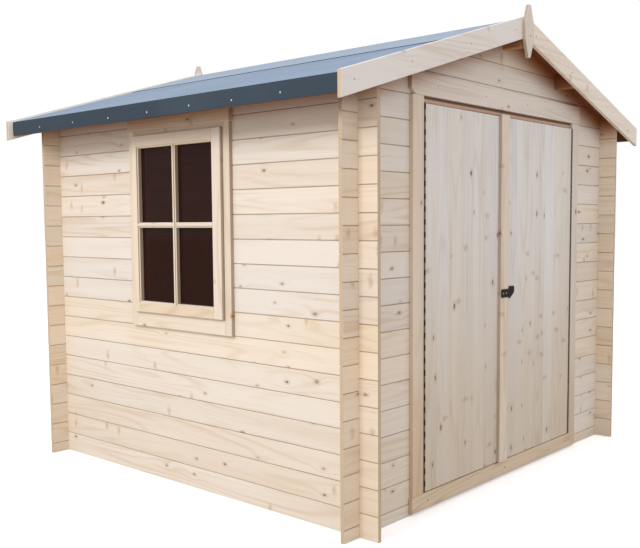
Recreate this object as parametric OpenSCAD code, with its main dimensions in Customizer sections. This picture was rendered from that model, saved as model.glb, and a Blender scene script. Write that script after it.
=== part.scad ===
// Small log cabin store: interlocking machined logs, felted apex roof, double door, one window.
// X runs along the front, Y from front to rear, Z up. The origin is at ground level under the middle.

/* [Log walls] */
// Width across the front, over the outer faces of the side walls
wall_w = 2300; // [2200:10:3000]
// Depth front to rear, over the outer faces of the front and rear walls
wall_d = 2246; // [2200:10:3000]
// Thickness of a log
log_t = 19; // [16:1:28]
// Height that one log adds to a wall
log_cover = 114; // [110:1:118]
// Height of the half log that starts the front and rear walls
half_log = 54; // [48:1:60]
// Height of the trimmed log that starts each side wall
side_start = 106; // [98:1:112]
// How far the log ends stand out past the wall they cross
stub = 100; // [80:5:120]
// Whole logs in a side wall above its first one
side_courses = 16; // [16:1:17]
// How far a side wall's bevelled top stands above its last course
top_rise = 8; // [0:1:12]
// Free height left between two logs
log_gap = 0.4; // [0.3:0.1:0.6]
// Width of the bevel along each log edge
log_bevel = 3; // [1:0.5:4]
// Width of a log's tongue
tongue_w = 7; // [5:1:8]
// Height of a log's tongue
tongue_h = 7; // [5:1:9]
// Free space on each side of a tongue or a crossing
joint_fit = 0.4; // [0.3:0.1:0.8]

/* [Floor] */
// Number of bearers under the floor
bearer_count = 5; // [3:1:6]
// Width of a floor bearer
bearer_w = 44; // [38:1:60]
// Height of a floor bearer
bearer_h = 38; // [30:1:40]
// Thickness of the floor boards
floor_t = 16; // [12:1:18]
// Free space between the floor boards and the walls
floor_fit = 4; // [2:1:8]

/* [Roof] */
// Rise of the roof for each unit of run
roof_rise = 0.3157; // [0.28:0.005:0.34]
// Thickness of the roof boards, square to the slope
board_t = 16; // [14:1:20]
// How far the felted eaves edge stands out past the side wall
eave_out = 214; // [160:2:240]
// How far the roof boards run past the front and rear walls
verge_out = 102; // [100:1:140]
// Thickness of the batten along each eaves edge
batten_t = 20; // [16:1:28]
// Height of the felt fold over each eaves edge
fold_h = 75; // [60:1:90]
// Thickness of the roofing felt
felt_t = 2.5; // [2:0.5:4]
// Distance from the ridge to the lower edge of the ridge sheet
ridge_sheet = 560; // [450:10:650]
// How far the ridge sheet laps over the lower sheets
felt_lap = 75; // [50:5:120]
// Width of the ridge beam and of a purlin
beam_w = 44; // [38:1:60]
// Depth of the ridge beam
ridge_h = 120; // [90:5:140]
// Depth of a purlin
purlin_h = 76; // [60:2:90]
// Distance of a purlin from the middle
purlin_x = 560; // [450:10:650]

/* [Bargeboards and finials] */
// How far a bargeboard's foot stands out past the side wall
barge_out = 243; // [220:1:280]
// Thickness of a bargeboard
barge_t = 20; // [16:1:24]
// Height of a bargeboard, measured plumb
barge_h = 106; // [95:1:120]
// How far a bargeboard stands above the felt
barge_lip = 12; // [8:1:20]
// Width of a finial
finial_w = 80; // [60:2:110]
// Thickness of a finial
finial_t = 18; // [12:1:22]
// Height of a finial's point above the bargeboards
finial_rise = 50; // [40:1:75]
// Overall height of a finial
finial_h = 256; // [220:2:300]

/* [Doorway] */
// Width over the two door jambs
frame_w = 1604; // [1500:4:1700]
// Width of a jamb's face
jamb_w = 82; // [70:1:90]
// How far the frame stands out from the wall on each side
frame_out = 20; // [16:1:24]
// Height of the sill's top above the ground
sill_top = 86; // [80:1:95]
// Height of the sill board's lower edge above the ground
sill_foot = 12; // [6:1:20]
// How far the sill board is longer than the frame at each end
sill_ear = 6; // [0:1:12]
// Height of the head of the frame
head_h = 27; // [24:1:34]
// How far the head's face lies behind the jambs' faces
head_back = 14; // [0:1:18]
// How much of a log end the frame's groove covers
log_cover_in = 25; // [20:1:30]
// Length of the board planted above the doorway
header_w = 1624; // [1604:4:1700]
// Height of the board planted above the doorway
header_h = 98; // [80:1:110]

/* [Doors] */
// Thickness of the door boards
door_t = 18; // [16:1:22]
// Free space between a door and what is around it
door_gap = 6; // [5:0.5:8]
// Thickness of the ledges behind the doors
ledge_t = 18; // [14:1:20]
// Height of a ledge
ledge_h = 95; // [70:5:120]
// Width of the strip that covers the meeting edges
strip_w = 76; // [60:1:90]
// Thickness of the strip that covers the meeting edges
strip_t = 18; // [12:1:22]
// How far that strip stands above its door
strip_rise = 9; // [0:1:12]
// Diameter of a hinge knuckle
knuckle_d = 7; // [6:0.5:9]
// Diameter of a hinge pin
pin_d = 3; // [2:0.5:4]
// Free space around a hinge pin in its knuckles
pin_fit = 0.1; // [0.05:0.05:0.3]
// Number of knuckles along a hinge
knuckles = 7; // [5:2:9]
// Thickness of a hinge leaf
hinge_t = 1.2; // [1:0.1:1.6]
// Height of the middle of the hasp above the ground
hasp_z = 960; // [900:5:1100]
// Length of each half of the hasp
hasp_w = 70; // [50:5:75]
// Height of the hasp's staple plate
hasp_h = 64; // [40:2:80]

/* [Window] */
// Distance from the front wall's outer face to the window frame
window_y = 760; // [740:5:820]
// Width over the window frame
window_w = 776; // [700:4:800]
// Log on which the window stands, counted up the side wall
window_log = 7; // [6:1:7]
// Height of the window opening in logs
window_logs = 9; // [8:1:9]
// How far the window frame's face stops below the top of the opening
face_drop = 26; // [20:1:40]
// Width of the window frame's face beside the sash
window_rim = 47; // [42:1:55]
// Height of the window frame's face under the sash
window_foot = 76; // [50:1:80]
// Height of the window frame's face over the sash
window_top = 25; // [10:1:30]
// Free space between the sash and its frame
sash_gap = 0.4; // [0.3:0.1:0.9]
// How far the sash stands out past the window frame
sash_out = 16; // [8:1:20]
// Thickness of the sash
sash_t = 44; // [38:1:48]
// Width of the sash's stile nearer to the front wall
stile_front = 68; // [50:1:75]
// Width of the sash's stile nearer to the rear wall
stile_rear = 44; // [40:1:75]
// Height of the sash's top rail
top_rail = 62; // [50:1:75]
// Height of the sash's bottom rail
foot_rail = 56; // [50:1:75]
// Width of a glazing bar
bar_w = 26; // [16:1:30]
// How far the glass lies behind the sash's face
glass_depth = 26; // [18:1:30]
// Thickness of the glass
glass_t = 3; // [2:0.5:4]
// Height of the board planted above the window
window_head_h = 67; // [50:1:75]
// Thickness of the board planted above the window
window_head_t = 26; // [18:1:30]

/* [Hidden] */

seat = 0.3;                                   // free space between two pieces that bear on each other
half_w = wall_w / 2;
front_y = -wall_d / 2;                        // outer face of the front wall
rear_y = wall_d / 2;                          // outer face of the rear wall
inner_w = half_w - log_t;                     // inner face of a side wall
side_top = side_start + side_courses * log_cover + top_rise;
stagger = side_start - half_log;              // how far the side wall's courses are above the front's
front_courses = side_courses;                 // whole logs beside the doorway
head_z = half_log + front_courses * log_cover;  // underside of the log over the doorway
gable_courses = ceil((half_w * roof_rise + side_top - head_z) / log_cover);
slant = sqrt(1 + roof_rise * roof_rise);      // turns a thickness square to the slope into a plumb one
board_v = board_t * slant;
felt_v = felt_t * slant;
reach = half_w + eave_out;                    // outer face of the felt fold, from the middle
batten_x = reach - felt_t - seat;             // outer face of the eaves batten, from the middle
frame_x = frame_w / 2;
jamb_x = frame_x - jamb_w;                    // inner face of a jamb, from the middle
opening_x = frame_x - log_cover_in;           // cut ends of the logs beside the doorway
door_lift = door_gap - 1;                     // free height over and under a door
door_top = head_z - log_gap - head_h - door_lift;
door_foot = sill_top + door_lift;
door_x = jamb_x - door_gap;                   // hinge edge of a door, from the middle
hinge_x = jamb_x - door_gap / 2;
hinge_y = front_y - frame_out - knuckle_d / 2;
door_y = front_y - frame_out + 2;             // front face of the doors
stop_y = door_y + door_t + door_lift;         // outer face of the stops behind the doors
stop_in = 15;                                 // how far a stop stands in from its jamb or head
frame_back = front_y + log_t + frame_out;     // inner face of the door frame
strip_y = door_y - seat - strip_t;
plate_t = 3;                                  // thickness of the hasp's plates
window_z = side_start + (window_log - 1) * log_cover;
window_h = window_logs * log_cover;
window_y0 = front_y + window_y;
face_h = window_h - face_drop;
sash_w = window_w - 2 * window_rim;
sash_y = window_y0 + window_rim;
sash_z = window_z + window_foot;
sash_h = face_h - window_foot - window_top;
sash_x = -half_w - frame_out - sash_out;      // outer face of the sash
glass_x = sash_x + glass_depth;
light_y = sash_y + stile_front;
light_w = sash_w - stile_front - stile_rear;
light_z = sash_z + foot_rail;
light_h = sash_h - foot_rail - top_rail;
bead = 8;                                     // how far the glass runs under the edge of its sash
sash_stop = 2;                                // how far the hole behind the sash is wider than its light
eps = 1;                                      // how far a cut runs past the face that it opens

function under(x) = side_top + roof_rise * (half_w - abs(x));
function board_top(x) = under(x) + board_v;
function felt_top(x) = board_top(x) + seat + felt_v;
function barge_top(x) = felt_top(x) + barge_lip;

// Cross-section of one log: thickness along u, height along v; a first log has no groove
module log_section(height, groove) {
    low = groove ? log_gap : 0;
    lip = groove ? log_bevel : 0;
    g0 = (log_t - tongue_w) / 2 - joint_fit;
    g1 = (log_t + tongue_w) / 2 + joint_fit;
    t0 = (log_t - tongue_w) / 2;
    t1 = (log_t + tongue_w) / 2;
    groove_top = low + tongue_h + joint_fit;
    polygon(concat(
        [[0, low + lip], [lip, low]],
        groove ? [[g0, low], [g0, groove_top], [g1, groove_top], [g1, low]] : [],
        [[log_t - lip, low], [log_t, low + lip], [log_t, height - log_bevel], [log_t - log_bevel, height],
         [t1, height], [t1, height + tongue_h], [t0, height + tongue_h], [t0, height],
         [log_bevel, height], [0, height - log_bevel]]
    ));
}

// A log along X from x0 to x1 whose front face is at y0
module x_log(x0, x1, y0, z0, height, groove = true) {
    translate([x0, y0, z0])
        rotate([90, 0, 90])
            linear_extrude(x1 - x0)
                log_section(height, groove);
}

// A log along Y from y0 to y1 whose left face is at x0
module y_log(y0, y1, x0, z0, height, groove = true) {
    translate([x0, y1, z0])
        rotate([90, 0, 0])
            linear_extrude(y1 - y0)
                log_section(height, groove);
}

// Cuts a log of the front or rear wall down to its neck where a side wall crosses it
module side_crossing(x0, y0, z0, height, neck_low, neck_high) {
    w = log_t + 2 * joint_fit;
    translate([x0 - joint_fit, y0 - eps, z0 - eps])
        cube([w, log_t + 2 * eps, neck_low + log_gap / 2 + eps]);
    translate([x0 - joint_fit, y0 - eps, z0 + neck_high - log_gap / 2])
        cube([w, log_t + 2 * eps, height - neck_high + tongue_h + 2 * eps]);
}

// Cuts a log of a side wall down to its neck where the front or rear wall crosses it
module front_crossing(x0, y0, z0, height, neck_low, neck_high) {
    w = log_t + 2 * joint_fit;
    translate([x0 - eps, y0 - joint_fit, z0 - eps])
        cube([log_t + 2 * eps, w, neck_low + log_gap / 2 + eps]);
    translate([x0 - eps, y0 - joint_fit, z0 + neck_high - log_gap / 2])
        cube([log_t + 2 * eps, w, height - neck_high + tongue_h + 2 * eps]);
}

// Everything under the roof boards
module under_roof() {
    x = half_w + stub + eps;
    y = wall_d / 2 + stub + eps;
    translate([0, y, 0])
        rotate([90, 0, 0])
            linear_extrude(2 * y)
                polygon([[-x, -eps], [x, -eps], [x, under(x) - seat],
                         [0, under(0) - seat], [-x, under(x) - seat]]);
}

// One whole log of the front or rear wall, notched for the side walls that it crosses
module front_log(y0, z0, x0, x1) {
    neck_low = stagger / 2;
    neck_high = (stagger + log_cover) / 2;
    difference() {
        x_log(x0, x1, y0, z0, log_cover);
        side_crossing(-half_w, y0, z0, log_cover, neck_low, neck_high);
        side_crossing(inner_w, y0, z0, log_cover, neck_low, neck_high);
    }
}

// The half log that starts the front or rear wall
module base_log(y0) {
    difference() {
        x_log(-half_w - stub, half_w + stub, y0, 0, half_log, false);
        for (x0 = [-half_w, inner_w])
            translate([x0 - joint_fit, y0 - eps, (half_log - log_gap) / 2])
                cube([log_t + 2 * joint_fit, log_t + 2 * eps, half_log]);
    }
}

// The gable: the log over the doorway and the shorter ones above it, cut to the roof
module gable(y0) {
    neck_low = stagger / 2;
    intersection() {
        difference() {
            for (k = [0 : gable_courses - 1])
                x_log(-half_w - stub, half_w + stub, y0, head_z + k * log_cover, log_cover);
            for (x0 = [-half_w, inner_w])
                translate([x0 - joint_fit, y0 - eps, head_z - eps])
                    cube([log_t + 2 * joint_fit, log_t + 2 * eps, neck_low + log_gap / 2 + eps]);
            beam_slots(y0);
        }
        under_roof();
    }
}

// Slots in a gable for the ridge beam and the purlins
module beam_slots(y0) {
    w = beam_w + 2 * joint_fit;
    for (beam = [[0, ridge_h], [-purlin_x, purlin_h], [purlin_x, purlin_h]]) {
        foot = under(beam[0]) - beam[1] - joint_fit;
        translate([beam[0] - w / 2, y0 - eps, foot])
            cube([w, log_t + 2 * eps, under(0) - foot]);
    }
}

// A side wall without its openings
module side_wall(x0) {
    y0 = front_y - stub;
    y1 = rear_y + stub;
    neck_low = (log_cover - stagger) / 2;
    neck_high = log_cover - stagger / 2;
    intersection() {
        union() {
            difference() {
                y_log(y0, y1, x0, 0, side_start, false);
                for (cross_y = [front_y, rear_y - log_t])
                    front_crossing(x0, cross_y, 0, side_start, half_log / 2, (half_log + side_start) / 2);
            }
            for (k = [1 : side_courses])
                difference() {
                    z0 = side_start + (k - 1) * log_cover;
                    height = log_cover + (k == side_courses ? top_rise + 2 * log_t * roof_rise : 0);
                    y_log(y0, y1, x0, z0, height);
                    for (cross_y = [front_y, rear_y - log_t])
                        front_crossing(x0, cross_y, z0, height, neck_low, neck_high);
                }
        }
        under_roof();
    }
}

module floor_bearers() {
    first = -inner_w + floor_fit + bearer_w;
    step = 2 * -first - bearer_w;
    y = wall_d / 2 - log_t - seat;
    color("burlywood")
        for (i = [0 : bearer_count - 1])
            translate([first + i * step / (bearer_count - 1), -y, 0])
                cube([bearer_w, 2 * y, bearer_h]);
}

module floor_boards() {
    x = inner_w - floor_fit;
    y = wall_d / 2 - log_t - floor_fit;
    color("wheat")
        translate([-x, -y, bearer_h + seat])
            cube([2 * x, 2 * y, floor_t - seat]);
}

module front_base_log() {
    color("wheat")
        base_log(front_y);
}

module front_wall_left() {
    color("wheat")
        for (k = [0 : front_courses - 1])
            front_log(front_y, half_log + k * log_cover, -half_w - stub, -opening_x);
}

module front_wall_right() {
    color("wheat")
        for (k = [0 : front_courses - 1])
            front_log(front_y, half_log + k * log_cover, opening_x, half_w + stub);
}

module front_gable() {
    color("wheat")
        gable(front_y);
}

module rear_wall() {
    color("wheat") {
        base_log(rear_y - log_t);
        for (k = [0 : front_courses - 1])
            front_log(rear_y - log_t, half_log + k * log_cover, -half_w - stub, half_w + stub);
    }
}

module rear_gable() {
    color("wheat")
        gable(rear_y - log_t);
}

// Opening in the logs for the window: the frame covers their cut ends
module window_opening() {
    window_block(-half_w - eps, -inner_w + eps, log_cover_in, window_z, window_z + window_h);
}

module left_wall() {
    color("wheat")
        difference() {
            side_wall(-half_w);
            window_opening();
        }
}

module right_wall() {
    color("wheat")
        side_wall(inner_w);
}

// A beam along Y whose top follows the roof
module beam(x, depth) {
    y = wall_d / 2 + verge_out - seat;
    foot = under(x) - depth;
    left = x - beam_w / 2;
    right = x + beam_w / 2;
    peak = left < 0 && right > 0 ? [[0, under(0) - seat]] : [];
    translate([0, y, 0])
        rotate([90, 0, 0])
            linear_extrude(2 * y)
                polygon(concat([[left, foot], [right, foot], [right, under(right) - seat]],
                               peak, [[left, under(left) - seat]]));
}

module ridge_beam() {
    color("tan")
        beam(0, ridge_h);
}

module purlins() {
    color("tan") {
        beam(-purlin_x, purlin_h);
        beam(purlin_x, purlin_h);
    }
}

// A piece along Y of the whole roof's length, with its section drawn for the left side
module roof_run(points) {
    y = wall_d / 2 + verge_out;
    translate([0, y, 0])
        rotate([90, 0, 0])
            linear_extrude(2 * y)
                polygon(points);
}

module roof_boards() {
    color("tan")
        roof_run([[-batten_x, under(batten_x)], [-seat / 2, under(0)],
                  [-seat / 2, board_top(0)], [-batten_x, board_top(batten_x)]]);
}

module roof_boards_left() {
    roof_boards();
}

module roof_boards_right() {
    mirror([1, 0, 0])
        roof_boards();
}

module eaves_batten() {
    inner = batten_x - batten_t;
    foot = felt_top(reach) - fold_h;
    color("saddlebrown")
        roof_run([[-batten_x, foot], [-inner, foot],
                  [-inner, under(inner) - seat], [-batten_x, under(batten_x) - seat]]);
}

module eaves_batten_left() {
    eaves_batten();
}

module eaves_batten_right() {
    mirror([1, 0, 0])
        eaves_batten();
}

// Lower sheet of felt, folded down over the eaves
module felt_sheet() {
    inner = reach - felt_t;
    upper = ridge_sheet - felt_lap;
    foot = felt_top(reach) - fold_h;
    color("lightsteelblue")
        roof_run([[-reach, foot], [-inner, foot], [-inner, board_top(inner) + seat],
                  [-upper, board_top(upper) + seat], [-upper, felt_top(upper)],
                  [-reach, felt_top(reach)]]);
}

module felt_left() {
    felt_sheet();
}

module felt_right() {
    mirror([1, 0, 0])
        felt_sheet();
}

// Sheet of felt over the ridge, which laps over both lower sheets
module felt_ridge() {
    step = ridge_sheet - felt_lap - 2;
    color("lightsteelblue")
        roof_run([[-ridge_sheet, felt_top(ridge_sheet) + seat], [-step, felt_top(step) + seat],
                  [-step, board_top(step) + seat], [0, board_top(0) + seat],
                  [step, board_top(step) + seat], [step, felt_top(step) + seat],
                  [ridge_sheet, felt_top(ridge_sheet) + seat],
                  [ridge_sheet, felt_top(ridge_sheet) + seat + felt_v],
                  [0, felt_top(0) + seat + felt_v],
                  [-ridge_sheet, felt_top(ridge_sheet) + seat + felt_v]]);
}

// Left bargeboard of the front gable, with a plumb foot and a plumb joint at the ridge
module bargeboard() {
    foot_x = half_w + barge_out;
    color("antiquewhite")
        translate([0, front_y - verge_out - seat, 0])
            rotate([90, 0, 0])
                linear_extrude(barge_t)
                    polygon([[-foot_x, barge_top(foot_x) - barge_h], [-seat / 2, barge_top(0) - barge_h],
                             [-seat / 2, barge_top(0)], [-foot_x, barge_top(foot_x)]]);
}

module barge_front_left() {
    bargeboard();
}

module barge_front_right() {
    mirror([1, 0, 0])
        bargeboard();
}

module barge_rear_left() {
    mirror([0, 1, 0])
        bargeboard();
}

module barge_rear_right() {
    mirror([0, 1, 0])
        mirror([1, 0, 0])
            bargeboard();
}

// Pointed board that covers the joint of the front bargeboards
module finial() {
    top = barge_top(0) + finial_rise;
    foot = top - finial_h;
    blunt = finial_w / 8;
    w = finial_w / 2;
    color("antiquewhite")
        translate([0, front_y - verge_out - barge_t - 2 * seat, 0])
            rotate([90, 0, 0])
                linear_extrude(finial_t)
                    polygon([[-blunt, top], [-w, top - finial_h / 3],
                             [-w, foot + finial_h / 3], [-blunt, foot],
                             [blunt, foot], [w, foot + finial_h / 3], [w, top - finial_h / 3], [blunt, top]]);
}

module finial_front() {
    finial();
}

module finial_rear() {
    mirror([0, 1, 0])
        finial();
}

// Sill: a board outside, a bearing on the half log and a lip inside
module door_sill() {
    bearing = half_log + tongue_h + seat;
    x = frame_x + sill_ear;
    body_x = opening_x - joint_fit;
    color("antiquewhite") {
        translate([-x, front_y - frame_out, sill_foot])
            cube([2 * x, frame_out - seat, sill_top - sill_foot]);
        translate([-body_x, front_y - frame_out, bearing])
            cube([2 * body_x, frame_back - front_y + frame_out, sill_top - bearing]);
    }
}

// Left jamb: a post grooved for the cut ends of the logs, with a stop behind the door
module door_jamb() {
    z0 = sill_top + seat;
    h = head_z - log_gap - z0;
    color("antiquewhite")
        difference() {
            union() {
                translate([-frame_x, front_y - frame_out, z0])
                    cube([jamb_w, frame_back - front_y + frame_out, h]);
                translate([-jamb_x - eps, stop_y, z0])
                    cube([stop_in + eps, frame_back - stop_y, h]);
            }
            translate([-frame_x - eps, front_y - seat, z0 - eps])
                cube([log_cover_in + joint_fit + eps, log_t + 2 * seat, h + 2 * eps]);
        }
}

module door_jamb_left() {
    door_jamb();
}

module door_jamb_right() {
    mirror([1, 0, 0])
        door_jamb();
}

// Head of the door frame, with a stop behind the doors
module door_head() {
    x = jamb_x - seat;
    stop_x = x - stop_in;
    z0 = head_z - log_gap - head_h;
    color("antiquewhite") {
        translate([-x, front_y - frame_out + head_back, z0])
            cube([2 * x, stop_y - front_y + frame_out - head_back, head_h]);
        translate([-stop_x, stop_y - eps, z0 - stop_in])
            cube([2 * stop_x, frame_back - stop_y + eps, head_h + stop_in]);
    }
}

// Board planted on the log over the doorway, with its lower corners cut off
module header_board() {
    x = header_w / 2;
    z0 = head_z + seat;
    clip_x = 34;
    clip_z = 24;
    color("antiquewhite")
        translate([0, front_y - seat, 0])
            rotate([90, 0, 0])
                linear_extrude(frame_out - seat)
                    polygon([[-x + clip_x, z0], [x - clip_x, z0], [x, z0 + clip_z], [x, z0 + header_h],
                             [-x, z0 + header_h], [-x, z0 + clip_z]]);
}

// Left door: vertical boards, drawn as one panel
module door_panel() {
    color("lightgray")
        translate([-door_x, door_y, door_foot])
            cube([door_x - door_gap / 2, door_t, door_top - door_foot]);
}

module door_left() {
    door_panel();
}

module door_right() {
    mirror([1, 0, 0])
        door_panel();
}

// Ledges behind the left door
module door_ledges() {
    inset = stop_in + 2 * door_gap;
    x0 = door_x - inset;
    w = x0 - inset;
    span = door_top - door_foot;
    end = span / 15;
    color("wheat")
        for (z0 = [door_foot + end, door_foot + (span - ledge_h) / 2, door_top - end - ledge_h])
            translate([-x0, door_y + door_t + seat, z0])
                cube([w, ledge_t - seat, ledge_h]);
}

module door_ledges_left() {
    door_ledges();
}

module door_ledges_right() {
    mirror([1, 0, 0])
        door_ledges();
}

// Strip along the meeting edge of the left door
module cover_strip() {
    color("antiquewhite")
        translate([-door_gap / 2 - strip_w, strip_y, door_foot])
            cube([strip_w, strip_t, door_top + strip_rise - door_foot]);
}

// Every other knuckle of the left hinge from number first up, each with a tab to its leaf at x0
module knuckle_row(first, x0) {
    pitch = (door_top - door_foot) / knuckles;
    for (i = [first : 2 : knuckles - 1])
        translate([-hinge_x, hinge_y, door_foot + i * pitch + seat]) {
            cylinder(h = pitch - 2 * seat, d = knuckle_d, $fn = 32);
            translate([x0 + hinge_x, 0, 0])
                cube([hinge_t, knuckle_d + eps, pitch - 2 * seat]);
        }
}

// Leaf of the left hinge, flat against the edge of the jamb or of the door at x0
module hinge_leaf(x0) {
    translate([x0, hinge_y + knuckle_d, door_foot])
        cube([hinge_t, 12, door_top - door_foot]);
}

// A round bar up the whole of the left hinge
module hinge_rod(d) {
    translate([-hinge_x, hinge_y, door_foot - eps])
        cylinder(h = door_top - door_foot + 2 * eps, d = d, $fn = 32);
}

// Hinge half on the left jamb, with the pin
module hinge_jamb() {
    x0 = -jamb_x + seat;
    color("dimgray") {
        knuckle_row(0, x0);
        hinge_leaf(x0);
        hinge_rod(pin_d);
    }
}

// Hinge half on the left door
module hinge_door() {
    x0 = -door_x - seat - hinge_t;
    color("dimgray")
        difference() {
            union() {
                knuckle_row(1, x0);
                hinge_leaf(x0);
            }
            hinge_rod(pin_d + 2 * pin_fit);
        }
}

module hinge_jamb_left() {
    hinge_jamb();
}

module hinge_jamb_right() {
    mirror([1, 0, 0])
        hinge_jamb();
}

module hinge_door_left() {
    hinge_door();
}

module hinge_door_right() {
    mirror([1, 0, 0])
        hinge_door();
}

// Fixed half of the hasp, on the cover strip
module hasp_plate() {
    color("black")
        translate([-door_gap / 2 - hasp_w, strip_y - seat - plate_t, hasp_z - hasp_h / 3])
            cube([hasp_w, plate_t, hasp_h * 2 / 3]);
}

// Staple half of the hasp, on the right door
module hasp_staple() {
    color("black")
        translate([door_gap / 2, door_y - seat - plate_t, hasp_z - hasp_h / 2])
            cube([hasp_w + door_gap, plate_t, hasp_h]);
}

// A block through the window's frame: from x0 to x1, and in from the frame's edge on each side
module window_block(x0, x1, y_in, z0, z1) {
    translate([x0, window_y0 + y_in, z0])
        cube([x1 - x0, window_w - 2 * y_in, z1 - z0]);
}

// Window frame: a face outside, a body in the wall with a stop for the sash, and a lip inside
module window_frame() {
    front = -half_w - frame_out;
    back = -half_w + log_t + frame_out;
    foot = window_z + log_gap;
    top = window_z + window_h - log_gap;
    stop_x = sash_x + sash_t + seat;
    color("antiquewhite")
        difference() {
            union() {
                window_block(front, -half_w - seat, 0, foot, window_z + face_h);
                window_block(front, back, log_cover_in + joint_fit, foot, window_z + face_h);
                window_block(-half_w, back, log_cover_in + joint_fit, foot, top);
                window_block(-inner_w + seat, back, 0, foot, top);
            }
            translate([front - eps, sash_y - sash_gap, sash_z - sash_gap])
                cube([stop_x - front + eps, sash_w + 2 * sash_gap, sash_h + 2 * sash_gap]);
            translate([front, light_y - sash_stop, light_z - sash_stop])
                cube([back - front + eps, light_w + 2 * sash_stop, light_h + 2 * sash_stop]);
        }
}

// Space for the one sheet of glass and its beads, open at the back of the sash
module glass_recess() {
    translate([glass_x, light_y - bead, light_z - bead])
        cube([sash_t, light_w + 2 * bead, light_h + 2 * bead]);
}

// Sash: two stiles, two rails between them, and glazing bars that part its light into four panes
module window_sash() {
    pane_w = (light_w - bar_w) / 2;
    pane_h = (light_h - bar_w) / 2;
    color("antiquewhite") {
        difference() {
            union() {
                for (stile = [[sash_y, stile_front], [light_y + light_w, stile_rear]])
                    translate([sash_x, stile[0], sash_z])
                        cube([sash_t, stile[1], sash_h]);
                for (rail = [[sash_z, foot_rail], [light_z + light_h, top_rail]])
                    translate([sash_x, light_y + seat, rail[0]])
                        cube([sash_t, light_w - 2 * seat, rail[1]]);
            }
            glass_recess();
        }
        translate([sash_x, light_y + pane_w, light_z + seat])
            cube([glass_depth, bar_w, light_h - 2 * seat]);
        for (y0 = [light_y, light_y + pane_w + bar_w])
            translate([sash_x, y0 + seat, light_z + pane_h])
                cube([glass_depth, pane_w - 2 * seat, bar_w]);
    }
}

module window_glass() {
    edge = bead - 1;
    color("darkslategray")
        translate([glass_x + seat, light_y - edge, light_z - edge])
            cube([glass_t, light_w + 2 * edge, light_h + 2 * edge]);
}

// Board planted above the window
module window_head_board() {
    ear = 6;
    color("antiquewhite")
        translate([-half_w - window_head_t - seat, window_y0 - ear, window_z + face_h + seat])
            cube([window_head_t, window_w + 2 * ear, window_head_h]);
}

floor_bearers();
floor_boards();
front_base_log();
front_wall_left();
front_wall_right();
front_gable();
rear_wall();
rear_gable();
left_wall();
right_wall();
ridge_beam();
purlins();
roof_boards_left();
roof_boards_right();
eaves_batten_left();
eaves_batten_right();
felt_left();
felt_right();
felt_ridge();
barge_front_left();
barge_front_right();
barge_rear_left();
barge_rear_right();
finial_front();
finial_rear();
door_sill();
door_jamb_left();
door_jamb_right();
door_head();
header_board();
door_left();
door_right();
door_ledges_left();
door_ledges_right();
cover_strip();
hinge_jamb_left();
hinge_jamb_right();
hinge_door_left();
hinge_door_right();
hasp_plate();
hasp_staple();
window_frame();
window_sash();
window_glass();
window_head_board();
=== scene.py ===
import math
import random

import bmesh
import bpy
from mathutils import Matrix, Vector


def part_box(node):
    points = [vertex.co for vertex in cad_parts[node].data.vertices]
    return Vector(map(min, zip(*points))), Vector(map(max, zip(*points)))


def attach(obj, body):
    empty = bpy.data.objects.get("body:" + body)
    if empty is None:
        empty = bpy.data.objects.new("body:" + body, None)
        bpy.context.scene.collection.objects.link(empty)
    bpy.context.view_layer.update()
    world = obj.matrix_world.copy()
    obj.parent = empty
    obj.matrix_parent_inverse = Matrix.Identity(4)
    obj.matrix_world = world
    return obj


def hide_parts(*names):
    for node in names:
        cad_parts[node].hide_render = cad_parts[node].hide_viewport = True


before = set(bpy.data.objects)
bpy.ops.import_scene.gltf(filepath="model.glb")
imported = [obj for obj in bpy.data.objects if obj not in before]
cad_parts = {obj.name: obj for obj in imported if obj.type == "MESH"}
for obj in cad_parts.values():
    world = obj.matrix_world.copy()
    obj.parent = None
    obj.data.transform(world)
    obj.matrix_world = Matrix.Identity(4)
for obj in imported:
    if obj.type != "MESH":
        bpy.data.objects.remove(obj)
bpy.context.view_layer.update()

random.seed(11)


# Floor. Bearers lie on the ground from front to rear, and planed boards run across them
# between the side walls. The boards butt edge to edge with eased arrises.

class Sock:
    """A shader socket that takes part in sums. node() makes any other node."""

    def __init__(self, tree, out):
        self.tree = tree
        self.out = out

    def node(self, kind, settings=None, output=0, **inputs):
        made = self.tree.nodes.new(kind)
        for key, value in (settings or {}).items():
            setattr(made, key, value)
        for key, value in inputs.items():
            spot = made.inputs[int(key[1:]) if key[1:].isdigit() else key.replace("_", " ")]
            if isinstance(value, Sock):
                self.tree.links.new(value.out, spot)
            else:
                spot.default_value = (*value, 1.0) if spot.type == "RGBA" else value
        return Sock(self.tree, made.outputs[output] if made.outputs else None)

    def sum(self, operation, first, second):
        return self.node("ShaderNodeMath", {"operation": operation}, i0=first, i1=second)

    def __add__(self, other):
        return self.sum("ADD", self, other)

    def __radd__(self, other):
        return self.sum("ADD", other, self)

    def __sub__(self, other):
        return self.sum("SUBTRACT", self, other)

    def __rsub__(self, other):
        return self.sum("SUBTRACT", other, self)

    def __mul__(self, other):
        return self.sum("MULTIPLY", self, other)

    def __rmul__(self, other):
        return self.sum("MULTIPLY", other, self)

    def __truediv__(self, other):
        return self.sum("DIVIDE", self, other)

    def __rtruediv__(self, other):
        return self.sum("DIVIDE", other, self)

    def __pow__(self, other):
        return self.sum("POWER", self, other)

    def __mod__(self, other):
        return self.sum("FLOORED_MODULO", self, other)

    def __gt__(self, other):
        return self.sum("GREATER_THAN", self, other)

    def __lt__(self, other):
        return self.sum("LESS_THAN", self, other)

    def __abs__(self):
        return self.sum("ABSOLUTE", self, 0.0)

    def __floor__(self):
        return self.sum("FLOOR", self, 0.0)


def step(x, low, high):
    """0 where x is at low, 1 where it is at high, with a smooth turn between them."""
    return x.node("ShaderNodeMapRange", {"interpolation_type": "SMOOTHSTEP"},
                  Value=x, From_Min=low, From_Max=high)


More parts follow.
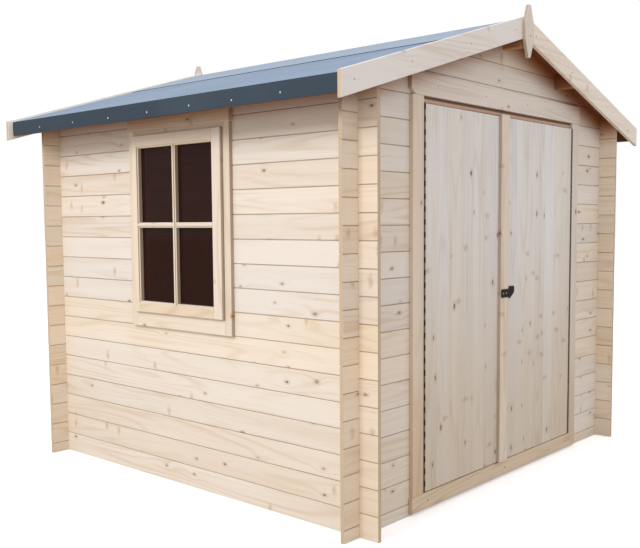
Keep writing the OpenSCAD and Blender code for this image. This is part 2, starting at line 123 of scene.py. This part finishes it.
def mix(factor, first, second, kind="MIX"):
    some = next(s for s in (factor, first, second) if isinstance(s, Sock))
    return some.node("ShaderNodeMix", {"data_type": "RGBA", "blend_type": kind}, 2,
                     i0=factor, i6=first, i7=second)


def vector(x, y, z):
    some = next(s for s in (x, y, z) if isinstance(s, Sock))
    return some.node("ShaderNodeCombineXYZ", X=x, Y=y, Z=z)


def noise(place, scale, detail=3.0, rough=0.5):
    return place.node("ShaderNodeTexNoise", Vector=place, Scale=scale, Detail=detail, Roughness=rough)


def split(place):
    return [place.node("ShaderNodeSeparateXYZ", None, i, Vector=place) for i in range(3)]


def shade(*colour):
    """A colour given as 0 to 255, turned into the linear one a shader wants."""
    return tuple(c / 255 / 12.92 if c < 11 else ((c / 255 + 0.055) / 1.055) ** 2.4 for c in colour)


def tinted(base, tint, amount=1.0):
    """base multiplied by a tint, by as much as amount says."""
    whole = mix(1.0, base, tint, "MULTIPLY")
    return whole if amount == 1.0 else mix(amount, base, whole)


def parts_of(colour):
    return [colour.node("ShaderNodeSeparateColor", None, i, Color=colour) for i in range(3)]


def scatter(cells):
    """Distance to the nearest of many scattered points, and three random numbers of that point."""
    distance, colour = [
        cells.node("ShaderNodeTexVoronoi", {"voronoi_dimensions": "2D"}, i, Vector=cells, Scale=1.0)
        for i in range(2)]
    return distance, *parts_of(colour)


def start_material(name):
    mat = bpy.data.materials.new(name)
    mat.use_nodes = True
    mat.node_tree.nodes.clear()
    start = Sock(mat.node_tree, None)
    return mat, start.node("ShaderNodeTexCoord", None, 3)


def end_material(mat, some, base, roughness, height=None, depth=0.0005, **more):
    if height is not None:
        more["Normal"] = some.node("ShaderNodeBump", Height=height, Distance=depth, Strength=0.6)
    done = some.node("ShaderNodeBsdfPrincipled", Base_Color=base, Roughness=roughness, **more)
    some.node("ShaderNodeOutputMaterial", Surface=done)
    return mat


def timber(name, grain, side, pale, deep, courses=None, knots=0.3, figure=1.0, dark=(92, 66, 50),
           cut=(214, 190, 160), edge=None, side_shade=0.5, stub=None, eaves=False, foot=None, header_shadow=None):
    """Sawn softwood. grain is the axis that the fibres follow and side the axis across a board's
    face. Each board has a number of its own: from its course on a wall (first edge and cover),
    or else from what the mesh carries. pale and deep are early and late wood, cut the end grain.
    edge is the axis whose side faces that look towards its low side get painted shade in a dark tan,
    and side_shade how much. stub is the distance out past which log ends are tinted warmer, eaves paints
    shade near the roof as a warm dark tint, foot is the height under which the wood turns darker towards
    the bottom, and header_shadow the height over which a dark band paints the shadow of the board in front."""
    mat, place = start_material(name)
    axes = split(place)
    along, across = axes[grain], axes[side]
    third = axes[3 - grain - side]
    if courses:
        level = (across - courses[0]) / courses[1]
        own = math.floor(level) + (third > 0.0) * 31.0 + (along > 0.0) * courses[2]
    else:
        own = place.node("ShaderNodeAttribute", {"attribute_name": "board"}, 2)
    chance = own.node("ShaderNodeTexWhiteNoise", {"noise_dimensions": "1D"}, 1, W=own + 0.37)
    red, green, blue = parts_of(chance)
    u = along + red * 17.0
    wander = noise(vector(u * 1.7, across * 3.0, third + green * 9.0), 1.0, 2.0)
    v = across + green * 5.0 + (wander - 0.5) * 0.03

    # Knots with a soft halo, round which the grain swells, and frayed marks of buried branches
    spot, lot, size, tone = scatter(vector(u * 4.6, v * 8.6, 0.0))
    here = lot < knots
    ragged = spot + (noise(vector(u * 60.0, v * 60.0, 0.0), 1.0) - 0.5) * 0.03
    reach = size * size * 0.05 + 0.012
    core = here * step(ragged, reach + 0.018, reach - 0.005)
    halo = here * step(ragged, reach + 0.12, reach)
    flow = v + here * step(spot, 0.42, 0.0) * 0.02
    blur, rare, _, _ = scatter(vector(u * 9.5, v * 5.2, 3.0))
    fray = noise(vector(u * 40.0, v * 40.0, third), 1.0, 3.0)
    branch = (rare < 0.13) * step(blur + (fray - 0.5) * 0.25, 0.2, 0.02)

    # Fibres, streaks, year rings cut at a slant, and cloudy patches
    fibre = noise(vector(u * 3.0, flow * 150.0, third * 150.0), 1.0, 4.0, 0.6)
    streak = noise(vector(u * 0.9, flow * 30.0, third * 30.0), 1.0, 3.0)
    hill = noise(vector(u * 0.55, flow * 7.5, third * 7.5 + blue * 7.0), 1.0, 1.0)
    ring = step(abs((hill * 11.0) % 1.0 - 0.5), 0.22, 0.5)
    cloud = noise(vector(u * 1.1, v * 4.0, third * 4.0), 1.0, 2.0)
    late = ring * 0.45 * step(cloud, 0.35, 0.62) + (streak - 0.38) * 0.8
    late = late + (fibre - 0.5) * 0.45 + (cloud - 0.5) * 0.5
    late = late.node("ShaderNodeClamp", Value=late * figure, Min=0.0, Max=1.0)

    base = mix(late, pale, deep)
    base = mix(branch * 0.4, base, shade(196, 150, 104))
    base = mix(halo * 0.3, base, shade(186, 146, 108))
    base = mix(core * (tone * 0.4 + 0.45), base, shade(*dark))
    base = tinted(base, mix(green, shade(253, 252, 251), shade(255, 247, 234)))
    base = tinted(base, vector(blue * 0.08 + 0.92, blue * 0.085 + 0.915, blue * 0.09 + 0.91))
    if stub:
        tan = step(abs(along), stub - 0.002, stub + 0.002)
        base = tinted(base, shade(252, 242, 226), tan * 0.5)
    if courses:
        near = (0.5 - abs(level % 1.0 - 0.5)) * courses[1]
        line = step(near + (wander - 0.5) * 0.0022, 0.0032, 0.0012)
        base = mix(line * 0.5, base, shade(142, 104, 70))
    facing = split(place.node("ShaderNodeTexCoord", None, 1))
    # Painted shade: faces that look towards the low side of the edge axis are darkened to a dark tan,
    # standing for the shade on the shadowed sides of trims, strips and frames.
    if edge is not None:
        base = mix(step(0.0 - facing[edge], 0.6, 0.9) * side_shade, base, shade(112, 74, 46))
    end = step(abs(facing[grain]), 0.6, 0.8)
    far = ((across + green * 0.03) ** 2.0 + (third + 0.02) ** 2.0) ** 0.5
    arcs = step(abs((far * 330.0 + fibre) % 1.0 - 0.5), 0.2, 0.5)
    base = mix(end, base, mix(arcs * 0.5, shade(*cut), shade(*[c * 0.8 for c in cut])))
    # Painted shade: a warm dark tint that deepens towards the roof's underside, standing for the shade
    # under the eaves and bargeboards.
    if eaves:
        slope = 0.3157
        under = axes[2] + abs(axes[0]) * slope
        depth = step(under + (cloud - 0.5) * 0.03, 2.1, 2.29)
        base = tinted(base, shade(176, 112, 64), depth ** 1.3)
    if foot:
        low = step(axes[2] + (cloud - 0.5) * 0.3, foot, 0.1)
        base = tinted(base, shade(240, 230, 214), low)
    # Painted shadow: a dark band over this height stands for the shadow that the header board casts on the
    # door head.
    if header_shadow:
        base = mix(step(axes[2], header_shadow - 0.002, header_shadow + 0.001) * 0.85, base, shade(92, 60, 42))
    height = fibre * 0.5 + ring * 0.35 - core * 0.7
    return end_material(mat, place, base, 0.66 + streak * 0.2, height)


BARE = (shade(224, 199, 158), shade(196, 158, 110))
bare_x = timber("bare_boards_x", 0, 1, *BARE, knots=0.35)
bare_y = timber("bare_boards_y", 1, 0, *BARE, knots=0.35)


def corners(axis, outline, low, high):
    """The two ends of a prism along axis, each as a list of points."""
    ends = []
    for level in (low, high):
        ring = []
        for a, b in outline:
            point = [a, b]
            point.insert(axis, level)
            ring.append(Vector(point))
        ends.append(ring)
    return ends


class Joinery:
    """Gathers solid pieces, each with eased edges and a number of its own, into one object."""

    def __init__(self):
        self.mesh = bmesh.new()
        self.board = self.mesh.faces.layers.float.new("board")
        self.count = random.randrange(900)

    def solid(self, ring_a, ring_b, ease=0.001):
        piece = bmesh.new()
        a = [piece.verts.new(p) for p in ring_a]
        b = [piece.verts.new(p) for p in ring_b]
        piece.faces.new(a)
        piece.faces.new(list(reversed(b)))
        for i in range(len(a)):
            j = (i + 1) % len(a)
            piece.faces.new((a[i], b[i], b[j], a[j]))
        return self.add(piece, ease)

    def add(self, piece, ease):
        """Takes in a finished piece after its sharp edges are eased."""
        bmesh.ops.recalc_face_normals(piece, faces=piece.faces)
        if ease:
            sharp = [e for e in piece.edges if len(e.link_faces) == 2 and e.calc_face_angle() > 0.35]
            bmesh.ops.bevel(piece, geom=sharp, offset=ease, segments=1, affect="EDGES", clamp_overlap=True)
        self.count += 1
        layer = piece.faces.layers.float.get("board") or piece.faces.layers.float.new("board")
        for face in piece.faces:
            face[layer] = self.count
        held = bpy.data.meshes.new("held")
        piece.to_mesh(held)
        piece.free()
        self.mesh.from_mesh(held)
        bpy.data.meshes.remove(held)
        return self

    def box(self, low, high, ease=0.001):
        outline = [(low[0], low[1]), (high[0], low[1]), (high[0], high[1]), (low[0], high[1])]
        return self.solid(*corners(2, outline, low[2], high[2]), ease)

    def node(self, name, ease=0.0012):
        """A copy of a CAD node, with its sharp edges eased."""
        piece = bmesh.new()
        piece.from_mesh(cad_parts[name].data)
        bmesh.ops.remove_doubles(piece, verts=piece.verts, dist=1e-5)
        bmesh.ops.dissolve_limit(piece, angle_limit=0.02, verts=piece.verts, edges=piece.edges)
        return self.add(piece, ease)

    def screw(self, at, out, radius=0.004):
        """A countersunk screw head at a point, facing out."""
        piece = bmesh.new()
        turn = Vector(out).to_track_quat("Z", "Y").to_matrix().to_4x4()
        bmesh.ops.create_cone(piece, cap_ends=True, segments=12, radius1=radius, radius2=radius * 0.8,
                              depth=0.0012, matrix=Matrix.Translation(at) @ turn)
        return self.add(piece, 0)

    def done(self, name, material, body, replaces=(), slot=None):
        data = bpy.data.meshes.new(name)
        self.mesh.to_mesh(data)
        self.mesh.free()
        data.materials.append(material)
        made = bpy.data.objects.new(name, data)
        bpy.context.scene.collection.objects.link(made)
        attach(made, body)
        for node in replaces:
            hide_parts(node)
        return made


def paint(node, material):
    """Gives a CAD node that shows as it is its material."""
    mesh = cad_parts[node].data
    mesh.materials.clear()
    mesh.materials.append(material)


def rows(low, high, cover):
    """Edges of whole boards that fill low to high, each about cover wide."""
    count = round((high - low) / cover)
    return [(low + (high - low) * i / count, low + (high - low) * (i + 1) / count) for i in range(count)]


paint("floor_bearers", bare_y)
low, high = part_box("floor_boards")
floor = Joinery()
for y0, y1 in rows(low.y, high.y, 0.088):
    floor.box((low.x, y0 + 0.0003, low.z), (high.x, y1 - 0.0003, high.z))
floor.done("floor_planks", bare_x, "cabin", ["floor_boards"], "bare_boards")


# Log walls. Machined logs lie edge to edge with a shallow V at each joint and cross at the four
# corners, where their sawn ends stand out. The front and rear start with a half log.
base_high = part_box("front_base_log")[1]
left_low, left_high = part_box("left_wall")
tongue = 0.007
first_front = base_high.z - tongue
first_side = 0.106
cover = 0.114
LOG = (shade(247, 241, 233), shade(228, 209, 185))
stub_length = 0.1
front_logs = timber("logs_front", 0, 2, *LOG, courses=(first_front - cover, cover, 57.0),
                    stub=base_high.x - stub_length, eaves=True)
side_logs = timber("logs_side", 1, 2, *LOG, courses=(first_side - cover, cover, 0.0),
                   stub=left_high.y - stub_length, eaves=True)
for node in ("front_base_log", "front_wall_left", "front_wall_right", "front_gable",
             "rear_wall", "rear_gable"):
    paint(node, front_logs)
for node in ("left_wall", "right_wall"):
    paint(node, side_logs)


# Door frame. Grooved jambs and a head stand on a sill board and hold the cut ends of the logs,
# and a board with clipped lower corners is planted on the log above.
TAN = (shade(244, 234, 223), shade(222, 202, 180))
trim_x = timber("trim_x", 0, 2, *TAN, knots=0.15, edge=0, side_shade=0.75, eaves=True)
trim_z = timber("trim_z", 2, 0, *TAN, knots=0.15, edge=0, side_shade=0.42)
jamb_wood = timber("jamb_wood", 2, 0, *TAN, knots=0.12, edge=0, side_shade=0.15, foot=0.9)
sill_wood = timber("sill_wood", 0, 2, shade(236, 220, 200), shade(208, 184, 154), knots=0.12,
                   edge=0, side_shade=0.3)
# The door head gets a darker copy of the trim colours as painted shade under the header board, with a
# painted shadow band along its top.
shaded_head_wood = timber("shaded_head_wood", 0, 2, shade(214, 186, 164), shade(186, 154, 128), knots=0.1,
                   header_shadow=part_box("door_head")[1].z - 0.012)
for node, wood in (("door_jamb_left", jamb_wood), ("door_jamb_right", jamb_wood), ("door_head", shaded_head_wood),
                   ("door_sill", sill_wood), ("header_board", trim_x)):
    Joinery().node(node).done("eased_" + node, wood, "cabin", [node], "trim")


# Doors. Upright boards meet edge to edge with hardly a joint showing, three ledges tie them
# behind, and a planted strip covers the meeting edge of the left door.
DOOR = (shade(247, 247, 248), shade(218, 212, 205))
door_wood = timber("door_boards", 2, 0, *DOOR, knots=0.3, figure=0.8, foot=1.5)
ledge_wood = timber("ledge_boards", 0, 2, *BARE, knots=0.3)
for side, body in (("left", "leaf_left"), ("right", "leaf_right")):
    low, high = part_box("door_" + side)
    boards = Joinery()
    for x0, x1 in rows(low.x, high.x, 0.102):
        boards.box((x0 + 0.00005, low.y, low.z), (x1 - 0.00005, high.y, high.z), 0.0003)
    boards.done("door_planks_" + side, door_wood, body, ["door_" + side], "door_boards")
    ledges = Joinery().node("door_ledges_" + side, 0.003)
    ledges.done("ledges_" + side, ledge_wood, body, ["door_ledges_" + side], "bare_boards")
Joinery().node("cover_strip", 0.002).done("meeting_strip", trim_z, "leaf_left", ["cover_strip"], "trim")


# Hinges. A continuous hinge closes the joint between each door and its jamb: short knuckles
# belong to the jamb and to the door by turns, on one long pin.
def metal(name, tone, worn, roughness, metallic=0.6):
    mat, place = start_material(name)
    blotch = noise(place, 60.0, 4.0)
    grit = noise(place, 900.0, 2.0)
    base = mix(step(blotch, 0.45, 0.75), tone, worn)
    return end_material(mat, place, base, roughness + blotch * 0.2, grit, 0.0001, Metallic=metallic)


knuckle_dark = metal("knuckle_dark", shade(52, 46, 42), shade(84, 72, 62), 0.45)
knuckle_worn = metal("knuckle_worn", shade(138, 122, 104), shade(104, 90, 76), 0.45)
KNUCKLE = 0.0285
for side in ("left", "right"):
    for half, body, turn in (("jamb", "cabin", 0), ("door", "leaf_" + side, 1)):
        node = "hinge_%s_%s" % (half, side)
        low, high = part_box(node)
        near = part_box("hinge_door_" + side)
        centre_x = (near[0].x + near[1].x) / 2
        row = Joinery()
        axis_y = low.y + 0.0035
        barrel = (0.0035 if turn else 0.0026) if side == "left" else 0.0022
        toward = 1 if (side == "left") == (half == "door") else -1
        inner, outer = sorted((centre_x + toward * 0.0015, centre_x + toward * 0.0027))
        round_outline = [(centre_x + barrel * math.cos(a), axis_y + barrel * math.sin(a))
                         for a in [math.tau * k / 12 for k in range(12)]]
        for z0, z1 in rows(near[0].z, near[1].z, KNUCKLE)[turn::2]:
            row.solid(*corners(2, round_outline, z0 + 0.0006, z1 - 0.0006), 0)
            row.box((inner, axis_y + 0.001, z0 + 0.0006), (outer, axis_y + 0.0041, z1 - 0.0006), 0)
        row.box((inner, axis_y + 0.004, near[0].z), (outer, high.y, near[1].z), 0)
        finish = knuckle_dark if turn and side == "left" else knuckle_worn
        row.done("knuckles_%s_%s" % (half, side), finish, body, [node], "hinge_metal")


# Hasp and staple. A black plate with two bright screws sits on the meeting strip, and beside
# it a plate that tapers to a blunt point is screwed to the right door.
black = metal("hasp_black", shade(24, 21, 20), shade(48, 42, 38), 0.4)
bright = metal("bright_screws", shade(190, 186, 180), shade(150, 146, 140), 0.3, 0.9)
low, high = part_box("hasp_plate")
middle = (low.z + high.z) / 2
plate = Joinery()
plate.box((low.x - 0.004, low.y, low.z), (high.x + 0.003, high.y, high.z), 0.0008)
plate.done("hasp_left_plate", black, "leaf_left", ["hasp_plate"], "hasp_metal")
heads = Joinery()
for x in (low.x + 0.014, low.x + 0.044):
    heads.screw((x, low.y - 0.0002, middle), (0, -1, 0), 0.0048)
heads.done("hasp_screws", bright, "leaf_left", (), "hasp_metal")
low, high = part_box("hasp_staple")
tongue = Joinery()
span = high.x - low.x
shape = ((0.0, -0.016), (0.2, -0.031), (0.46, -0.032), (0.98, -0.006), (1.06, 0.012),
         (1.0, 0.031), (0.24, 0.032), (0.0, 0.024))
outline = [(low.x + a * span, middle + b) for a, b in shape]
tongue.solid(*corners(1, outline, low.y, high.y), 0.0008)
tongue.done("hasp_right_plate", black, "leaf_right", ["hasp_staple"], "hasp_metal")
heads = Joinery()
heads.screw((low.x + span * 0.3, low.y - 0.0002, middle - 0.013), (0, -1, 0), 0.0048)
heads.done("staple_screw", bright, "leaf_right", (), "hasp_metal")


# Window. A sash with four panes stands a little proud of its planted frame, with a drip board
# above. The glass lies well back, and the room behind it looks dark partly through real shade and partly
# through painted shade in the glass's dark tint.
PALE = (shade(245, 234, 218), shade(226, 204, 176))
trim_y = timber("trim_y", 1, 2, *PALE, knots=0.15, edge=1, side_shade=0.6, eaves=True)
stile_z = timber("stile_z", 2, 1, *PALE, knots=0.12, edge=1)


def surround(upright, level, near, far, outer, inner):
    """Two uprights with two level pieces between them, round an opening. Each of outer and inner
    is low y, high y, low z and high z."""
    upright.box((near, outer[0], outer[2]), (far, inner[0], outer[3]))
    upright.box((near, inner[1], outer[2]), (far, outer[1], outer[3]))
    level.box((near, inner[0] + 0.0003, outer[2]), (far, inner[1] - 0.0003, inner[2]))
    level.box((near, inner[0] + 0.0003, inner[3]), (far, inner[1] - 0.0003, outer[3]))


def grown(edges, by):
    return edges[0] - by, edges[1] + by, edges[2] - by, edges[3] + by


low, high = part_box("window_frame")
sash_low, sash_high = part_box("window_sash")
drip_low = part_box("window_head_board")[0]
wall_face, wall_back = left_low.x, left_high.x
sash = (sash_low.y, sash_high.y, sash_low.z, sash_high.z)
stile_front, stile_rear, foot_rail, top_rail = 0.068, 0.044, 0.056, 0.062
light = (sash_low.y + stile_front, sash_high.y - stile_rear, sash_low.z + foot_rail, sash_high.z - top_rail)
tucked = 0.0254
whole = (low.y, high.y, low.z, high.z)
core = (low.y + tucked, high.y - tucked, low.z, high.z)
uprights, levels = Joinery(), Joinery()
face = (low.y, high.y, low.z, drip_low.z - 0.0006)
surround(uprights, levels, low.x, wall_face - 0.0003, face, grown(sash, 0.0025))
surround(uprights, levels, wall_face, sash_high.x + 0.0003, core, grown(sash, 0.0008))
surround(uprights, levels, sash_high.x + 0.0004, wall_back, core, grown(light, 0.002))
surround(uprights, levels, wall_back + 0.0003, high.x, whole, grown(light, 0.002))
uprights.done("casing_uprights", stile_z, "cabin", ["window_frame"], "trim")
levels.done("casing_levels", trim_y, "cabin", ["window_frame"], "trim")

uprights, levels = Joinery(), Joinery()
nose, glass_face = sash_low.x + 0.006, sash_low.x + 0.026
surround(uprights, levels, sash_low.x, nose, sash, grown(light, 0.008))
surround(uprights, levels, nose + 0.0002, glass_face, sash, light)
surround(uprights, levels, glass_face + 0.0001, sash_high.x, sash, grown(light, 0.008))
middle_y, middle_z = (light[0] + light[1]) / 2, (light[2] + light[3]) / 2
for near, far, half, reach in ((sash_low.x, nose, 0.005, 0.008), (nose + 0.0002, glass_face, 0.013, 0.0)):
    levels.box((near, light[0] - reach, middle_z - half), (far, light[1] + reach, middle_z + half))
    below = (light[2] - reach, middle_z - half - 0.0002)
    above = (middle_z + half + 0.0002, light[3] + reach)
    for z0, z1 in (below, above):
        uprights.box((near + 0.001 * (reach > 0), middle_y - half, z0), (far, middle_y + half, z1))
uprights.done("sash_uprights", stile_z, "cabin", ["window_sash"], "trim")
levels.done("sash_levels", trim_y, "cabin", ["window_sash"], "trim")
drip = Joinery().node("window_head_board", 0.002)
drip.done("window_drip", trim_y, "cabin", ["window_head_board"], "trim")


def pane():
    mat, place = start_material("window_pane")
    smear = noise(place, 9.0, 3.0)
    # Painted shade: the glass's dark maroon tint stands in for the dim room seen through it.
    return end_material(mat, place, shade(132, 90, 80), 0.02 + smear * 0.03, smear, 0.0001,
                        Transmission_Weight=0.9, IOR=1.12)


paint("window_glass", pane())


# Roof structure. A ridge beam and two purlins run through both gables, boards go from ridge to
# eaves across them, and a batten stiffens each eaves edge.
# Painted shade: the beams, battens and roof boards get a far darker, warmer wood than the other bare
# boards, standing for the shade under the roof.
shaded_beam_wood = timber("shaded_beam_wood", 1, 0, shade(206, 164, 118), shade(170, 126, 82), knots=0.3,
                   eaves=True, cut=(226, 190, 146))
for node in ("ridge_beam", "purlins"):
    Joinery().node(node, 0.0015).done("planed_" + node, shaded_beam_wood, "cabin", [node], "bare_boards")
shaded_batten_wood = timber("shaded_batten_wood", 1, 2, shade(120, 76, 48), shade(88, 56, 34), knots=0.2)
shaded_roof_wood = timber("shaded_roof_wood", 0, 1, shade(156, 100, 62), shade(120, 74, 44), knots=0.3)
for side in ("left", "right"):
    batten = Joinery().node("eaves_batten_" + side, 0.0015)
    batten.done("batten_" + side, shaded_batten_wood, "cabin", ["eaves_batten_" + side], "batten")
    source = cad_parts["roof_boards_" + side].data
    low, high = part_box("roof_boards_" + side)
    section = sorted({(round(v.co.x, 5), round(v.co.z, 5)) for v in source.vertices})
    section = [section[0], section[2], section[3], section[1]]
    boards = Joinery()
    for y0, y1 in rows(low.y, high.y, 0.098):
        boards.solid(*corners(1, section, y0 + 0.0003, y1 - 0.0003), 0.0015)
    boards.done("roof_planks_" + side, shaded_roof_wood, "cabin", ["roof_boards_" + side], "bare_boards")


# Roofing felt. Grey mineral felt is laid in three runs with the ridge sheet lapped over the
# others, folded down over the eaves and held there by flat clout nails.
def felt(name):
    mat, place = start_material(name)
    across, along, up = split(place)
    rise = split(place.node("ShaderNodeTexCoord", None, 1))[2]
    grit = noise(place, 1500.0, 2.0)
    fleck = noise(place, 420.0, 2.0)
    patch = noise(vector(across * 3.0, along * 1.2, up), 1.0, 4.0)
    base = mix(step(grit, 0.35, 0.7), shade(124, 142, 162), shade(152, 170, 190))
    base = mix(step(fleck, 0.6, 0.75) * 0.35, base, shade(172, 188, 206))
    base = mix(step(patch, 0.3, 0.7) * 0.3, base, shade(110, 130, 152))
    base = mix(step(abs(across), 0.561, 0.559) * 0.3, base, shade(196, 206, 218))
    # Painted shade: felt turned down over the eaves, picked out by its sideways-facing surface, gets a dark
    # slate colour standing for the shade on that fold.
    fold = mix(step(grit, 0.3, 0.7), shade(40, 53, 65), shade(58, 73, 86))
    fold = mix(step(patch, 0.4, 0.7) * 0.35, fold, shade(74, 90, 100))
    base = mix(step(rise, 0.85, 0.5), base, fold)
    lap = step(abs(abs(across) - 0.5635), 0.0036, 0.0016)
    base = mix(lap * 0.7, base, shade(58, 72, 88))
    return end_material(mat, place, base, 0.86 + patch * 0.1, grit * 0.7 + patch * 0.3, 0.0008)


felt_grey = felt("roof_felt")
for node in ("felt_left", "felt_right", "felt_ridge"):
    paint(node, felt_grey)
nail = metal("clout_nails", shade(206, 212, 214), shade(150, 156, 160), 0.4, 0.3)
for side, sign in (("left", -1), ("right", 1)):
    low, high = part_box("felt_" + side)
    face = low.x if sign < 0 else high.x
    heads = Joinery()
    for k in range(7):
        y = low.y + 0.312 + k * 0.307 + random.uniform(-0.02, 0.02)
        heads.screw((face, y, low.z + 0.028 + random.uniform(-0.004, 0.004)), (sign, 0, 0), 0.005)
    heads.done("eaves_nails_" + side, nail, "cabin", (), "felt")


# Bargeboards and finials. Planed boards cover the roof's ends on both gables, and a pointed
# board is screwed over the joint at each peak.
BARGE = (shade(255, 251, 246), shade(236, 221, 204))
barge_wood = timber("barge_wood", 0, 2, *BARGE, knots=0.2)
finial_wood = timber("finial_wood", 2, 0, *TAN, knots=0.1, edge=0)
for end in ("front", "rear"):
    for side in ("left", "right"):
        node = "barge_%s_%s" % (end, side)
        Joinery().node(node, 0.0015).done("board_" + node, barge_wood, "cabin", [node], "trim")
    point = Joinery().node("finial_" + end, 0.0015)
    point.done("point_" + end, finial_wood, "cabin", ["finial_" + end], "trim")


nail_dark = metal("cut_nails", shade(70, 58, 52), shade(110, 92, 78), 0.5, 0.4)
heads = Joinery()
low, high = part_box("barge_front_left")
board_height = 0.106
run, rise = high.x - low.x, high.z - low.z - board_height
for part in (0.055, 0.32, 0.64, 0.93):
    for sign in (1, -1):
        at = (sign * (low.x + part * run), low.y - 0.0001, low.z + board_height / 2 + part * rise)
        heads.screw(at, (0, -1, 0), 0.003)
low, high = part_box("finial_front")
heads.screw((0.008, low.y + 0.0005, (low.z + high.z) / 2 - 0.02), (0, -1, 0), 0.0045)
low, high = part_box("door_sill")
for x in (low.x + 0.12, 0.0, high.x - 0.12):
    heads.screw((x, low.y - 0.0001, (low.z + high.z) / 2), (0, -1, 0), 0.004)
low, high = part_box("header_board")
spacing = (high.x - low.x - 0.4) / 3
for k in range(4):
    heads.screw((low.x + 0.2 + k * spacing, low.y - 0.0001, low.z + 0.05), (0, -1, 0), 0.003)
heads.done("board_nails", nail_dark, "cabin", (), "trim")


# Stage. A wide pale floor, a soft lamp to the left of the cabin, and an even pale sky that the
# camera sees as white.
def stage_floor():
    mat, place = start_material("pale_floor")
    seen = place.node("ShaderNodeLightPath", None, 0)
    tint = noise(place, 0.4, 2.0)
    base = mix(seen, shade(180, 172, 162), mix(tint * 0.2, shade(250, 250, 250), shade(246, 246, 246)))
    glow = mix(seen, (0.0, 0.0, 0.0), (1.0, 1.0, 1.0))
    return end_material(mat, place, base, 0.95, Emission_Color=glow, Emission_Strength=0.35)


ground = bpy.data.meshes.new("stage_floor")
around = ((-60, -60), (60, -60), (60, 60), (-60, 60))
ground.from_pydata([(x, y, -0.001) for x, y in around], [], [(0, 1, 2, 3)])
ground.materials.append(stage_floor())
ground_object = bpy.data.objects.new("stage_floor", ground)
bpy.context.scene.collection.objects.link(ground_object)

world = bpy.data.worlds.new("studio")
bpy.context.scene.world = world
world.use_nodes = True
world.node_tree.nodes.clear()
air = Sock(world.node_tree, None)
seen = air.node("ShaderNodeLightPath", None, 0)
glow = air.node("ShaderNodeBackground", Color=shade(250, 250, 255), Strength=0.96)
white = air.node("ShaderNodeBackground", Color=(1.0, 1.0, 1.0), Strength=1.0)
sky = air.node("ShaderNodeMixShader", i0=seen, i1=glow, i2=white)
air.node("ShaderNodeOutputWorld", Surface=sky)


def lamp(name, at, target, size, watts, warmth):
    light = bpy.data.lights.new(name, "AREA")
    light.size = size
    light.energy = watts
    light.color = warmth
    made = bpy.data.objects.new(name, light)
    made.location = at
    made.rotation_euler = (Vector(target) - Vector(at)).to_track_quat("-Z", "Y").to_euler()
    bpy.context.scene.collection.objects.link(made)


lamp("key", (-7.5, -0.5, 5.5), (-1.0, 0.0, 1.0), 2.5, 235, (1.0, 0.985, 0.97))

lens = bpy.data.cameras.new("camera")
lens.sensor_width = 36.0
lens.lens = 48.2
lens.shift_x = -0.0539
lens.shift_y = 0.0234
yaw, pitch, roll = (math.radians(a) for a in (49.73, -4.42, -0.253))
ahead = Vector((math.sin(yaw) * math.cos(pitch), math.cos(yaw) * math.cos(pitch), math.sin(pitch)))
right = Vector((math.cos(yaw), -math.sin(yaw), 0.0))
up = right.cross(ahead)
right, up = (math.cos(roll) * right + math.sin(roll) * up), (math.cos(roll) * up - math.sin(roll) * right)
camera = bpy.data.objects.new("camera", lens)
turned = Matrix((right, up, -ahead)).transposed().to_4x4()
stands_at = (-3.840, -3.379, 1.320)
camera.matrix_world = Matrix.Translation(stands_at) @ turned
bpy.context.scene.collection.objects.link(camera)
bpy.context.scene.camera = camera
bpy.context.scene.view_settings.view_transform = "Standard"
